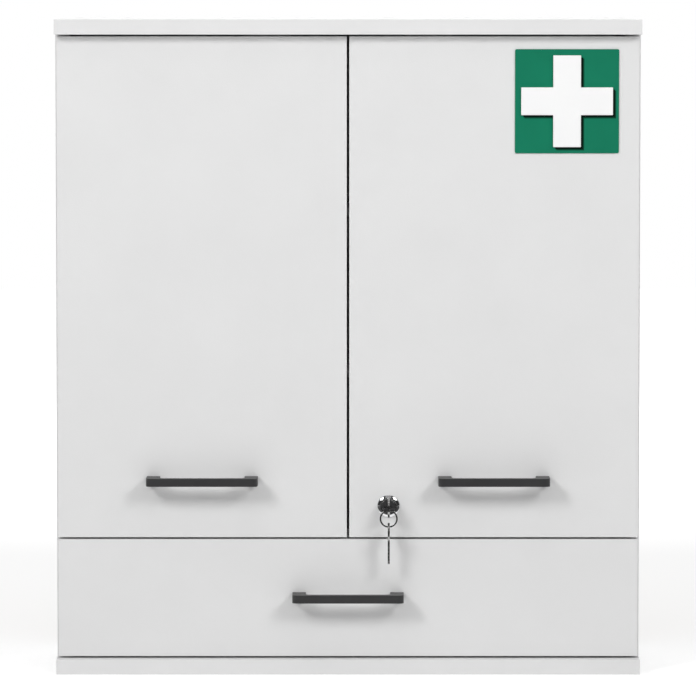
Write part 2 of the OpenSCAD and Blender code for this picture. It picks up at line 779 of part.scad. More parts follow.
// Key in its own plane: bow end at 0, tip at key_len, along the first axis
module key_outline() {
    r = bow_w / 2;
    b = blade_w / 2;
    cut_pitch = 3.2;
    cuts = [1.4, 2.2, 1, 1.8];
    cut_s0 = bow_len + neck_len + 2.5;
    difference() {
        union() {
            intersection() {
                translate([r, 0]) circle(r = r);
                translate([0, -r]) square([bow_len, bow_w]);
            }
            translate([bow_len - 1, -b - 0.7]) square([neck_len + 1 - 0.2, blade_w + 1.4]);
            polygon([[bow_len, -b], [key_len - b * 0.7, -b], [key_len, -b * 0.3], [key_len, b * 0.5],
                [key_len - b * 0.5, b], [bow_len, b]]);
        }
        for (i = [0 : len(cuts) - 1]) translate([cut_s0 + i * cut_pitch, -b]) {
            polygon([[-1.3, -1], [-1.3, 0], [-0.5, cuts[i]], [0.5, cuts[i]], [1.3, 0], [1.3, -1]]);
        }
        translate([hole_s, 0]) circle(r = bow_hole_d / 2);
    }
}
// Key body with its flat faces towards the left and right
module key_body() {
    translate([-key_t / 2, 0, 0]) rotate([90, 0, 90]) linear_extrude(key_t) key_outline();
}
module key() {
    color("silver") translate([lock_x, bow_y0, lock_z]) key_body();
}
// Split ring: two turns of flat wire side by side
module key_ring() {
    color("silver") translate([lock_x, hole_y, ring_z]) rotate([90, 0, 0]) rotate_extrude() {
        for (s = [-1, 1]) translate([ring_d / 2, s * wire_r * 0.48]) circle(r = wire_r * 0.5);
        translate([ring_d / 2 - wire_r * 0.3, -wire_r * 0.48]) square([wire_r * 0.6, wire_r * 0.96]);
    }
}

// ---- drawer box and runners, drawn at the right side ----
box_half_w = in_w - runner_gap;
box_in_w = box_half_w - drawer_board_t;
box_z0 = z_floor + drawer_lift;
box_z1 = box_z0 + drawer_side_h;
box_y1 = y_panel - drawer_back_room;
box_back_y = box_y1 - drawer_board_t;
sheet_z = box_z0 + drawer_bottom_rise;
dowel_r = 4;
dowel_front = 9;
dowel_back = 20;
dowel_zs = [box_z0 + 24, box_z1 - 16];
box_screw_r = 2.2;
box_screw_len = 38;
foot_screw_in = 30;
foot_screw_len = 11;
foot_screw_ys = [y_rear + foot_screw_in, box_y1 - foot_screw_in];
module sheet_groove() {
    e = groove_depth;
    block([-box_in_w - e, y_rear - e, sheet_z - fix], [box_in_w + e, box_back_y + e, sheet_z + drawer_bottom_t + fix]);
}
module dowel_bores() {
    both_sides() for (z = dowel_zs) {
        rod_y([box_half_w - drawer_board_t / 2, y_rear - dowel_front - 0.5, z], dowel_r + run, dowel_front + dowel_back + 1);
    }
}
module back_screw_bores(r) {
    y = box_y1 - drawer_board_t / 2;
    both_sides() for (z = dowel_zs) rod_x([box_half_w - box_screw_len, y, z], r, box_screw_len + 1);
}
module drawer_front() {
    color("white") difference() {
        block([-front_half_w, y_face, drawer_z0], [front_half_w, y_rear, drawer_z1]);
        sheet_groove();
        dowel_bores();
        handle_bores(0, drawer_handle_z, handle_screw_d / 2 + 0.3, 1);
    }
}
module drawer_side() {
    difference() {
        block([box_in_w, y_rear, box_z0], [box_half_w, box_y1, box_z1]);
        sheet_groove();
        dowel_bores();
        back_screw_bores(box_screw_r + run);
        for (y = foot_screw_ys) rod_z([box_half_w - drawer_board_t / 2, y, box_z0 - 1], small_r + run, foot_screw_len + 1);
    }
}
module drawer_left_side() {
    color("white") mirror([1, 0, 0]) drawer_side();
}
module drawer_right_side() {
    color("white") drawer_side();
}
module drawer_back() {
    color("white") difference() {
        block([-box_in_w, box_back_y, box_z0], [box_in_w, box_y1, box_z1]);
        sheet_groove();
        back_screw_bores(box_screw_r + run);
    }
}
module drawer_bottom() {
    e = groove_depth - groove_slack;
    color("white") block([-box_in_w - e, y_rear - e, sheet_z], [box_in_w + e, box_back_y + e, sheet_z + drawer_bottom_t]);
}
module drawer_dowels() {
    color("burlywood") both_sides() for (z = dowel_zs) {
        rod_y([box_half_w - drawer_board_t / 2, y_rear - dowel_front, z], dowel_r, dowel_front + dowel_back);
    }
}
module drawer_handle() {
    bow_handle(0, drawer_handle_z);
}
module drawer_handle_screws() {
    handle_screws(0, drawer_handle_z);
}
module drawer_buffers() {
    buffer_set([buffer_in - front_half_w, front_half_w - buffer_in], drawer_buffer_z);
}
// Screws of the drawer back and of the runner feet
module drawer_screws() {
    y = box_y1 - drawer_board_t / 2;
    color("silver") both_sides() {
        for (z = dowel_zs) {
            rod_x([box_half_w - box_screw_len + 1, y, z], box_screw_r, box_screw_len - 1);
        }
        for (y = foot_screw_ys) {
            rod_z([box_half_w - drawer_board_t / 2, y, box_z0 - runner_t], small_r, foot_screw_len);
            rod_z([box_half_w - drawer_board_t / 2, y, box_z0 - runner_t - 1.2], 2.8, 1.2);
        }
    }
}

// Roller runners: the rail on the carcass carries a roller at its front, the
// slide under the drawer side carries one at its rear.
roller_r = roller_d / 2;
roller_gap = 0.2;
rail_web_x = in_w - runner_t;
roller_x1 = rail_web_x - 1.4;
roller_x0 = roller_x1 - roller_w;
rail_z0 = box_z0 + 1;
roller_z = rail_z0 + runner_t + roller_gap + roller_r;
slide_z = roller_z + roller_r + roller_gap;   // underside of the running flange
rail_z1 = slide_z + 2 * runner_t + 0.4;
rail_front_in = 1;
rail_tail = 10;           // how far the rail runs on behind the drawer box
front_roller_in = 12;
rear_roller_in = 9;
rail_screw_in = 31;
rail_screw_out = 16;
rail_screw_len = 10.5;
rail_head_t = 0.8;
axle_r = 2;
axle_end = 0.3;           // how far an axle stands out of its roller
rail_y0 = y_case + rail_front_in;
rail_y1 = box_y1 + rail_tail;
flange_x = box_half_w + 2.5;
front_roller_y = y_case + front_roller_in;
rear_roller_y = box_y1 - rear_roller_in;
rail_screw_y0 = rail_y0 + rail_screw_in;
rail_screw_y1 = rail_y1 - rail_screw_out;
rail_screw_ys = [rail_screw_y0, (rail_screw_y0 + rail_screw_y1) / 2, rail_screw_y1];
module runner_bores() {
    for (y = rail_screw_ys) rod_x([in_w - 1, y, roller_z], small_r + run, rail_screw_len + 1.5);
}
module runner_rails() {
    color("gainsboro") both_sides() difference() {
        union() {
            block([rail_web_x, rail_y0, rail_z0], [in_w, rail_y1, rail_z1]);
            block([flange_x, front_roller_y + roller_r + 3, rail_z0], [in_w, rail_y1, rail_z0 + runner_t]);
            block([flange_x, front_roller_y + roller_r + 3, rail_z1 - runner_t], [in_w, rail_y1, rail_z1]);
            rod_x([roller_x0 - axle_end, front_roller_y, roller_z], axle_r, in_w - roller_x0);
        }
        for (y = rail_screw_ys) rod_x([rail_web_x - 1, y, roller_z], small_r + run, 3);
    }
}
module rail_screws() {
    color("silver") both_sides() for (y = rail_screw_ys) {
        rod_x([rail_web_x - rail_head_t, y, roller_z], 2 * small_r, rail_head_t);
        rod_x([rail_web_x, y, roller_z], small_r, runner_t + rail_screw_len);
    }
}
module roller(y) {
    color("white") both_sides() difference() {
        rod_x([roller_x0, y, roller_z], roller_r, roller_w);
        rod_x([roller_x0 - 1, y, roller_z], axle_r + run, roller_w + 2);
        rod_x([roller_x0 - 1, y, roller_z], roller_r - 2.5, 2);
    }
}
module rail_rollers() {
    roller(front_roller_y);
}
module slide_rollers() {
    roller(rear_roller_y);
}
module runner_slides() {
    web = box_half_w + runner_t;
    color("gainsboro") both_sides() difference() {
        union() {
            block([box_half_w, y_rear + 2, box_z0 - runner_t], [web, box_y1, slide_z + runner_t]);
            block([box_in_w + 1, y_rear + 2, box_z0 - runner_t], [web, box_y1, box_z0]);
            block([box_half_w, y_rear + 2, slide_z], [roller_x1 + 0.4, box_y1, slide_z + runner_t]);
            rod_x([box_half_w, rear_roller_y, roller_z], axle_r, roller_x1 + axle_end - box_half_w);
        }
        for (y = foot_screw_ys) rod_z([box_half_w - drawer_board_t / 2, y, box_z0 - 3], small_r + run, 4);
    }
}

top_board();
bottom_board();
left_side();
right_side();
fixed_shelf();
back_panel();
hanging_rail();
lower_shelf();
upper_shelf();
shelf_pins();
cam_fittings();
cam_bolts();
shelf_confirmats();
hinge_arms();
hinge_pins();
hinge_plates();
hinge_screws();
door_catches();
catch_magnets();
strike_plate();
strike_screws();
runner_rails();
rail_screws();
rail_rollers();
left_door();
left_hinge_cups();
left_door_screws();
left_handle();
left_handle_screws();
left_catch_plate();
left_buffers();
bolt_guide();
door_bolt();
right_door();
right_hinge_cups();
right_door_screws();
right_handle();
right_handle_screws();
right_catch_plate();
right_buffers();
lock_housing();
lock_nut();
lock_plug();
lock_cam();
cam_screw();
key();
key_ring();
drawer_front();
drawer_left_side();
drawer_right_side();
drawer_back();
drawer_bottom();
drawer_dowels();
drawer_handle();
drawer_handle_screws();
drawer_buffers();
drawer_screws();
runner_slides();
slide_rollers();
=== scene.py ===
"""Lockable medicine cabinet: finishes, small pieces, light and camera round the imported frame.

Metres, +X to the right, +Y to the rear, +Z up. Places come from the frame, apart from the
first-aid sign's, which is read from the photo.
"""
import json
import math

import bmesh
import bpy
from mathutils import Matrix, Vector


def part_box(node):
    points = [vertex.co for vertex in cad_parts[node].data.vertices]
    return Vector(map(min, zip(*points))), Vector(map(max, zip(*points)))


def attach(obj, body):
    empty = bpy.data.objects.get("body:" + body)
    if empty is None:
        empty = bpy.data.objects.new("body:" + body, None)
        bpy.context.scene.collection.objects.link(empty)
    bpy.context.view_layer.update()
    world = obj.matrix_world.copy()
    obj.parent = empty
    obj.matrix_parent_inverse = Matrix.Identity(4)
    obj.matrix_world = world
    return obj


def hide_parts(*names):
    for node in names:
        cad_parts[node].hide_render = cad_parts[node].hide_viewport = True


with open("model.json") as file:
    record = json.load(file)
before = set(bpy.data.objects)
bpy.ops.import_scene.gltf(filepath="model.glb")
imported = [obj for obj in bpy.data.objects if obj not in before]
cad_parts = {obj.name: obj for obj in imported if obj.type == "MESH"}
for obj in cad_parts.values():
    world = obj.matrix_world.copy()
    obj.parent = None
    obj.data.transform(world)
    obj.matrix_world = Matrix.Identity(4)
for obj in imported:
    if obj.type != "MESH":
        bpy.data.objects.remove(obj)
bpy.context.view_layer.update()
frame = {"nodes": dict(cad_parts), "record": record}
NODES = frame["nodes"]
MM = 0.001

BODY_OF = {
    node: body
    for body, nodes in frame["record"]["behaviour"]["bodies"].items()
    for node in nodes
}
SLOT_OF = {row["node"]: row["material_slot"] for row in frame["record"]["subparts"]}


# ------------------------------------------------------------ shader nodes
# Most of a noise's values lie between these two
NOISE_LOW, NOISE_HIGH = 0.3, 0.7


def new_material(name, roughness, metallic=0.0, specular=0.5):
    """A material with its Principled shader; returns it with its tree and shader."""
    mat = bpy.data.materials.new(name)
    mat.use_nodes = True
    tree = mat.node_tree
    shader = tree.nodes["Principled BSDF"]
    shader.inputs["Roughness"].default_value = roughness
    shader.inputs["Metallic"].default_value = metallic
    shader.inputs["Specular IOR Level"].default_value = specular
    return mat, tree, shader


def object_point(tree, stretch=(1, 1, 1)):
    """Object coordinates in metres, stretched per axis."""
    where = tree.nodes.new("ShaderNodeTexCoord")
    mapping = tree.nodes.new("ShaderNodeMapping")
    mapping.inputs["Scale"].default_value = stretch
    tree.links.new(where.outputs["Object"], mapping.inputs["Vector"])
    return mapping.outputs["Vector"]


def noise(tree, vector, size, detail=3.0, roughness=0.5):
    """Noise whose features are about `size` metres across."""
    node = tree.nodes.new("ShaderNodeTexNoise")
    node.inputs["Scale"].default_value = 1.0 / size
    node.inputs["Detail"].default_value = detail
    node.inputs["Roughness"].default_value = roughness
    tree.links.new(vector, node.inputs["Vector"])
    return node.outputs["Fac"]


def ramp(tree, value, low, high):
    """Colours from `low` to `high` over the middle of a noise."""
    node = tree.nodes.new("ShaderNodeValToRGB")
    stops = ((NOISE_LOW, low), (NOISE_HIGH, high))
    for element, (position, colour) in zip(node.color_ramp.elements, stops):
        element.position = position
        element.color = (*colour, 1.0)
    tree.links.new(value, node.inputs["Fac"])
    return node.outputs["Color"]


def map_range(tree, value, source, target):
    """Maps the pair `source` onto the pair `target`."""
    node = tree.nodes.new("ShaderNodeMapRange")
    node.inputs["From Min"].default_value = source[0]
    node.inputs["From Max"].default_value = source[1]
    node.inputs["To Min"].default_value = target[0]
    node.inputs["To Max"].default_value = target[1]
    tree.links.new(value, node.inputs["Value"])
    return node.outputs["Result"]


def spread(tree, value, low, high):
    """Maps the middle of a noise onto low..high."""
    return map_range(tree, value, (NOISE_LOW, NOISE_HIGH), (low, high))


def calculate(tree, operation, *operands):
    """Math node; each operand is a socket or a constant."""
    node = tree.nodes.new("ShaderNodeMath")
    node.operation = operation
    for socket, operand in zip(node.inputs, operands):
        if isinstance(operand, bpy.types.NodeSocket):
            tree.links.new(operand, socket)
        else:
            socket.default_value = operand
    return node.outputs["Value"]


def bump(tree, shader, height, distance):
    """Relief of `distance` metres on the shader, driven by the value `height`."""
    node = tree.nodes.new("ShaderNodeBump")
    node.inputs["Strength"].default_value = 1.0
    node.inputs["Distance"].default_value = distance
    tree.links.new(height, node.inputs["Height"])
    tree.links.new(node.outputs["Normal"], shader.inputs["Normal"])


def tint(colour, factor):
    """The colour made lighter or darker, at most white."""
    return tuple(min(1.0, c * factor) for c in colour)


# ---------------------------------------------------------------- finishes
def surface(name, colour, roughness, metallic=0.0, change=0.03, patch=0.03, grain=0.0004,
            relief=0.00001, stretch=(1, 1, 1), wear=0.06, specular=0.5):
    """General finish: slow colour patches, fine grain in roughness and in bump."""
    mat, tree, shader = new_material(name, roughness, metallic, specular)
    point = object_point(tree, stretch)
    slow = noise(tree, point, patch)
    fine = noise(tree, point, grain, detail=4.0, roughness=0.6)
    colours = ramp(tree, slow, tint(colour, 1 - change), tint(colour, 1 + change))
    tree.links.new(colours, shader.inputs["Base Color"])
    gloss = spread(tree, fine, roughness * (1 - wear), roughness * (1 + wear))
    tree.links.new(gloss, shader.inputs["Roughness"])
    bump(tree, shader, fine, relief)
    return mat


PEARL_CELL = 0.0011
PEARL_RELIEF = 0.000035


def melamine(name, colour):
    """White melamine: a pearl texture of shallow cells over a faint long wave."""
    mat, tree, shader = new_material(name, 0.46, specular=0.20)
    point = object_point(tree)
    cells = tree.nodes.new("ShaderNodeTexVoronoi")
    cells.inputs["Scale"].default_value = 1 / PEARL_CELL
    tree.links.new(point, cells.inputs["Vector"])
    slow = noise(tree, point, 0.09)
    fine = noise(tree, point, 0.0005)
    colours = ramp(tree, slow, tint(colour, 0.985), tint(colour, 1.01))
    tree.links.new(colours, shader.inputs["Base Color"])
    tree.links.new(spread(tree, fine, 0.42, 0.50), shader.inputs["Roughness"])
    bump(tree, shader, cells.outputs["Distance"], PEARL_RELIEF)
    return mat


def hardboard(name):
    """Back panel: white foil on the front, bare brown fibres behind."""
    mat, tree, shader = new_material(name, 0.7)
    fibres = noise(tree, object_point(tree, (1, 1, 4)), 0.004, detail=6.0, roughness=0.7)
    brown = ramp(tree, fibres, (0.20, 0.125, 0.07), (0.36, 0.24, 0.14))
    waves = noise(tree, object_point(tree), 0.08)
    foil = ramp(tree, waves, (0.76, 0.76, 0.75), (0.8, 0.8, 0.79))
    where = tree.nodes.new("ShaderNodeTexCoord")
    split = tree.nodes.new("ShaderNodeSeparateXYZ")
    tree.links.new(where.outputs["Normal"], split.inputs["Vector"])
    faces_front = calculate(tree, "LESS_THAN", split.outputs["Y"], -0.5)
    mix = tree.nodes.new("ShaderNodeMix")
    mix.data_type = "RGBA"
    tree.links.new(faces_front, mix.inputs["Factor"])
    tree.links.new(brown, mix.inputs["A"])
    tree.links.new(foil, mix.inputs["B"])
    tree.links.new(mix.outputs["Result"], shader.inputs["Base Color"])
    tree.links.new(spread(tree, fibres, 0.55, 0.85), shader.inputs["Roughness"])
    bump(tree, shader, fibres, 0.00008)
    return mat


def brushed(name, colour, roughness, stretch):
    """Drawn or brushed metal: lines along the axis that is stretched least."""
    mat, tree, shader = new_material(name, roughness, 1.0)
    lines = noise(tree, object_point(tree, stretch), 0.0006, detail=5.0, roughness=0.65)
    slow = noise(tree, object_point(tree), 0.012)
    colours = ramp(tree, slow, tint(colour, 0.94), tint(colour, 1.04))
    tree.links.new(colours, shader.inputs["Base Color"])
    gloss = spread(tree, lines, roughness * 0.75, roughness * 1.3)
    tree.links.new(gloss, shader.inputs["Roughness"])
    bump(tree, shader, lines, 0.000006)
    return mat


WHITE = (0.80, 0.80, 0.80)
MATERIALS = {
    "carcass_board": melamine("carcass_board", WHITE),
    "front_board": melamine("front_board", WHITE),
    "drawer_board": melamine("drawer_board", (0.78, 0.78, 0.78)),
    "drawer_sheet": melamine("drawer_sheet", (0.76, 0.76, 0.76)),
    "back_sheet": hardboard("back_sheet"),
    "zinc_fastener": brushed("zinc_fastener", (0.62, 0.62, 0.60), 0.32, (1, 1, 1)),
    "nickel_hinge": brushed("nickel_hinge", (0.66, 0.64, 0.60), 0.24, (1, 0.2, 1)),
    "zinc_steel": brushed("zinc_steel", (0.62, 0.63, 0.64), 0.34, (0.15, 1, 1)),
    "white_plastic": surface("white_plastic", (0.82, 0.82, 0.80), 0.4, patch=0.01),
    "magnet": surface("magnet", (0.16, 0.16, 0.17), 0.6, change=0.12, patch=0.002,
                      relief=0.00003),
    "runner_steel": surface("runner_steel", (0.80, 0.80, 0.79), 0.35, grain=0.0008,
                            relief=0.00002),
    "roller_plastic": surface("roller_plastic", (0.85, 0.85, 0.83), 0.28, patch=0.006),
    "buffer": surface("buffer", (0.70, 0.70, 0.70), 0.5, patch=0.003),
    "handle_coat": surface("handle_coat", (0.041, 0.041, 0.042), 0.42, change=0.06, patch=0.02,
                           grain=0.0005, relief=0.00002, wear=0.12, specular=0.35),
    "lock_chrome": surface("lock_chrome", (0.70, 0.70, 0.71), 0.07, 1.0, patch=0.006,
                           relief=0.000001),
    "lock_plug": surface("lock_plug", (0.42, 0.42, 0.43), 0.12, 1.0, patch=0.004,
                         relief=0.000001),
    "key_nickel": brushed("key_nickel", (0.36, 0.36, 0.355), 0.09, (1, 1, 0.15)),
    "dowel_wood": surface("dowel_wood", (0.62, 0.46, 0.29), 0.6, change=0.15, patch=0.002,
                          stretch=(1, 0.1, 1), relief=0.00005),
}

for node_name, node_object in NODES.items():
    for place in node_object.material_slots:
        place.material = MATERIALS[SLOT_OF[node_name]]


# ------------------------------------------------------------ mesh helpers
WELD = 0.000002
FLAT_ANGLE = math.radians(1)
EASE_ANGLE = math.radians(40)
SMOOTH_ANGLE = math.radians(50)


def as_object(name, bm, mat):
    """A new object from a bmesh, with its normals outwards."""
    bmesh.ops.recalc_face_normals(bm, faces=bm.faces)
    mesh = bpy.data.meshes.new(name)
    bm.to_mesh(mesh)
    bm.free()
    obj = bpy.data.objects.new(name, mesh)
    bpy.context.scene.collection.objects.link(obj)
    mesh.materials.append(mat)
    return obj


def node_bmesh(node):
    """The CAD node's mesh with its split corners joined and flat faces whole."""
    bm = bmesh.new()
    bm.from_mesh(NODES[node].data)
    bmesh.ops.remove_doubles(bm, verts=bm.verts, dist=WELD)
    bmesh.ops.dissolve_limit(bm, angle_limit=FLAT_ANGLE, verts=bm.verts, edges=bm.edges)
    return bm


def bake_modifiers(obj):
    """Puts the result of the modifiers in the mesh and clears them."""
    bpy.context.view_layer.update()
    graph = bpy.context.evaluated_depsgraph_get()
    baked = bpy.data.meshes.new_from_object(obj.evaluated_get(graph))
    obj.modifiers.clear()
    obj.data = baked


def smooth(obj):
    """Smooth over eased edges, with the large flat faces kept flat."""
    for face in obj.data.polygons:
        face.use_smooth = True
    obj.data.set_sharp_from_angle(angle=SMOOTH_ANGLE)
    weights = obj.modifiers.new("weights", "WEIGHTED_NORMAL")
    weights.mode = "FACE_AREA"
    weights.weight = 100
    weights.keep_sharp = True
    bake_modifiers(obj)


def eased(node, width, segments):
    """Stands for a CAD node with its edges eased by `width` metres."""
    obj = as_object(f"{node}_eased", node_bmesh(node), MATERIALS[SLOT_OF[node]])
    bevel = obj.modifiers.new("ease", "BEVEL")
    bevel.width = width
    bevel.segments = segments
    bevel.limit_method = "ANGLE"
    bevel.angle_limit = EASE_ANGLE
    bevel.use_clamp_overlap = True
    bake_modifiers(obj)
    smooth(obj)
    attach(obj, BODY_OF[node])
    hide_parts(node)


# ------------------------------------------------------------- eased pieces
KEY_EASE = 0.12 * MM
# Width of the eased edge, faces across it, and the nodes
EASED = [
    (0.5 * MM, 2, ["top_board", "bottom_board", "left_door", "right_door", "drawer_front",
                   "left_side", "right_side", "fixed_shelf", "lower_shelf", "upper_shelf",
                   "hanging_rail"]),
    (0.4 * MM, 2, ["drawer_left_side", "drawer_right_side", "drawer_back"]),
    (0.9 * MM, 3, ["left_handle", "right_handle", "drawer_handle"]),
    (0.35 * MM, 2, ["lock_plug"]),
    (KEY_EASE, 2, ["key"]),
    (0.3 * MM, 2, ["strike_plate", "door_catches", "bolt_guide", "door_bolt", "hinge_plates",
                   "hinge_arms", "left_hinge_cups", "right_hinge_cups", "left_catch_plate",
                   "right_catch_plate"]),
]
for ease_width, ease_faces, eased_nodes in EASED:
    for eased_node in eased_nodes:
        eased(eased_node, ease_width, ease_faces)


# ------------------------------------------------------------ lock rosette
# Radius and height above the door in millimetres: bore, lip, cone, outer edge
ROSETTE_PROFILE = [
    (7.55, 0), (7.55, 2.4), (7.7, 2.95), (8.0, 3.15), (8.35, 3.12), (9.0, 2.88), (9.6, 2.64),
    (10.2, 2.38), (10.7, 2.12), (11.0, 1.85), (11.18, 1.5), (11.25, 1.0), (11.25, 0),
]
ROSETTE_STEPS = 96


def rosette():
    """The lock housing with the conical rosette of the real one on its barrel."""
    low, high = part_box("lock_plug")
    axis_x, axis_z = (low.x + high.x) / 2, (low.z + high.z) / 2
    face_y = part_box("right_door")[0].y
    bm = node_bmesh("lock_housing")
    # The solid's rim is cut off at the door's face, and the cut closed from bore to outside
    halves = bmesh.ops.bisect_plane(bm, geom=bm.verts[:] + bm.edges[:] + bm.faces[:],
                                    clear_outer=True, plane_co=(0, face_y, 0),
                                    plane_no=(0, -1, 0))
    rims = [e for e in halves["geom_cut"] if isinstance(e, bmesh.types.BMEdge)]
    bmesh.ops.bridge_loops(bm, edges=rims)
    rings = []
    for step in range(ROSETTE_STEPS):
        turn = 2 * math.pi * step / ROSETTE_STEPS
        ring = []
        for radius, height in ROSETTE_PROFILE:
            x = axis_x + radius * MM * math.cos(turn)
            z = axis_z + radius * MM * math.sin(turn)
            ring.append(bm.verts.new((x, face_y - height * MM, z)))
        rings.append(ring)
    for here, after in zip(rings, rings[1:] + rings[:1]):
        for i in range(len(here)):
            bm.faces.new((here[i - 1], here[i], after[i], after[i - 1]))
    obj = as_object("lock_rosette", bm, MATERIALS["lock_chrome"])
    smooth(obj)
    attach(obj, "right_door")
    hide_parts("lock_housing")


rosette()


# -------------------------------------------------------------- split ring
# Section of the flat wire, in parts of its width and thickness
WIRE_SECTION = [(-0.5, -0.3), (-0.3, -0.5), (0.3, -0.5), (0.5, -0.3),
                (0.5, 0.3), (0.3, 0.5), (-0.3, 0.5), (-0.5, 0.3)]
WIRE_W = 1.5 * MM
WIRE_T = 0.66 * MM
WIRE_PITCH = 0.7 * MM
WIRE_OUTSIDE = 0.1 * MM      # how far the wire stands outside the solid ring
RING_STEPS = 72              # sections in one turn
RING_TURNS = 2
RING_OPEN = 3                # sections left off at the wire's end
RING_START = math.radians(200)
STEP_FROM, STEP_LENGTH = 0.9, 0.2    # where one turn passes to the other, in turns


def split_ring():
    """Two turns of flat spring wire, with the step where one turn passes to the other."""
    low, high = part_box("key_ring")
    centre = (low + high) / 2
    outer = (high.x - low.x) / 2 + WIRE_OUTSIDE
    bm = bmesh.new()
    sections = []
    for step in range(RING_STEPS * RING_TURNS - RING_OPEN):
        part = step / RING_STEPS
        turn = 2 * math.pi * part + RING_START
        step_up = min(1.0, max(0.0, (part - STEP_FROM) / STEP_LENGTH))
        along = (step_up - 0.5) * WIRE_PITCH
        section = []
        for u, v in WIRE_SECTION:
            radius = outer - WIRE_W / 2 + u * WIRE_W
            x = centre.x + radius * math.cos(turn)
            z = centre.z + radius * math.sin(turn)
            section.append(bm.verts.new((x, centre.y + along + v * WIRE_T, z)))
        sections.append(section)
    for here, after in zip(sections, sections[1:]):
        for i in range(len(WIRE_SECTION)):
            j = (i + 1) % len(WIRE_SECTION)
            bm.faces.new((here[i], here[j], after[j], after[i]))
    bm.faces.new(sections[0])
    bm.faces.new(sections[-1])
    obj = as_object("split_ring", bm, MATERIALS["key_nickel"])
    smooth(obj)
    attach(obj, "key_ring")
    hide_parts("key_ring")


split_ring()


# --------------------------------------------------------- first-aid sign
SIGN_SIZE = 102.8 * MM
SIGN_T = 1.2 * MM
SIGN_CORNER = 1.5 * MM
SIGN_EASE = 0.25 * MM
SIGN_X = 216.4 * MM
SIGN_Z = 569.1 * MM
CROSS_SIZE = 90.6 * MM
CROSS_ARM = 27.4 * MM
CROSS_T = 3.0 * MM
CROSS_EASE = 0.5 * MM
# Thickness and easing of the layers of the cross's painted shadow
PAINTED_SHADOW_T = 0.08 * MM
PAINTED_SHADOW_EASE = 0.02 * MM
GREEN = (0.0050, 0.200, 0.108)
# Dark and softer greens of the cross's painted shadow
SHADE = (0.0005, 0.0115, 0.0065)
HALF_SHADE = (0.0012, 0.066, 0.034)
SIGN_RELIEF = 0.000004
CORNER_STEPS = 6
SAME_PLANE = 1e-7


def prism(name, outline, y_back, y_front, mat, ease):
    """Closed outline of (x, z) points, from y_back to y_front, front and corners eased."""
    bm = bmesh.new()
    ring = [bm.verts.new((x, y_back, z)) for x, z in outline]
    base = bm.faces.new(ring)
    made = bmesh.ops.extrude_face_region(bm, geom=[base])
    moved = [v for v in made["geom"] if isinstance(v, bmesh.types.BMVert)]
    bmesh.ops.translate(bm, verts=moved, vec=(0, y_front - y_back, 0))
    edges = [e for e in bm.edges if all(abs(v.co.y - y_front) < SAME_PLANE for v in e.verts)]
    corners = [e for e in bm.edges if abs(e.verts[0].co.y - e.verts[1].co.y) > SAME_PLANE]
    bmesh.ops.bevel(bm, geom=edges + corners, offset=ease, segments=3, profile=0.5,
                    affect="EDGES")
    obj = as_object(name, bm, mat)
    smooth(obj)
    return obj


def rounded_square(x, z, size, radius):
    """Points of a square with rounded corners, anticlockwise."""
    points = []
    reach = size / 2 - radius
    for quarter, (sx, sz) in enumerate([(1, 1), (-1, 1), (-1, -1), (1, -1)]):
        for step in range(CORNER_STEPS + 1):
            turn = math.radians(90 * (quarter + step / CORNER_STEPS))
            points.append((x + sx * reach + radius * math.cos(turn),
                           z + sz * reach + radius * math.sin(turn)))
    return points


def cross_outline(x, z, size, arm):
    """The twelve corners of an upright cross."""
    a, b = arm / 2, size / 2
    corners = [(b, -a), (b, a), (a, a), (a, b), (-a, b), (-a, a),
               (-b, a), (-b, -a), (-a, -a), (-a, -b), (a, -b), (a, -a)]
    return [(x + u, z + v) for u, v in corners]


def first_aid_sign():
    """Plate, raised cross, and the cross's painted shadow in dark greens, right of the cross and
    below it.
    """
    green = surface("sign_green", GREEN, 0.45, change=0.04, relief=SIGN_RELIEF, specular=0.15)
    shade = surface("sign_shade", SHADE, 0.5, change=0.04, relief=SIGN_RELIEF, specular=0.1)
    half_shade = surface("sign_half_shade", HALF_SHADE, 0.5, change=0.04, relief=SIGN_RELIEF,
                         specular=0.1)
    white = surface("sign_white", (0.98, 0.98, 0.98), 0.4, change=0.005, relief=SIGN_RELIEF)
    door_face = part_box("right_door")[0].y
    plate_face = door_face - SIGN_T
    pieces = [
        prism("sign_plate", rounded_square(SIGN_X, SIGN_Z, SIGN_SIZE, SIGN_CORNER),
              door_face, plate_face, green, SIGN_EASE),
        prism("sign_cross", cross_outline(SIGN_X, SIGN_Z, CROSS_SIZE, CROSS_ARM),
              plate_face, plate_face - CROSS_T, white, CROSS_EASE),
    ]
    # Painted shadow: cross-shaped dark green layers offset right and down, where the raised
    # cross's shadow falls
    for name, tone, offset, layers in (("sign_painted_shadow_soft", half_shade, 3.3 * MM, 1),
                                       ("sign_painted_shadow_dark", shade, 2.2 * MM, 2)):
        outline = cross_outline(SIGN_X + offset, SIGN_Z - offset, CROSS_SIZE, CROSS_ARM)
        pieces.append(prism(name, outline, plate_face, plate_face - layers * PAINTED_SHADOW_T, tone,
                            PAINTED_SHADOW_EASE))
    for piece in pieces:
        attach(piece, "right_door")


first_aid_sign()


# ------------------------------------------------- second key on the ring
BOW_HOLE_R = 2.5 * MM
BOW_HOLE_IN = 6 * MM         # from the bow's end to the middle of its hole


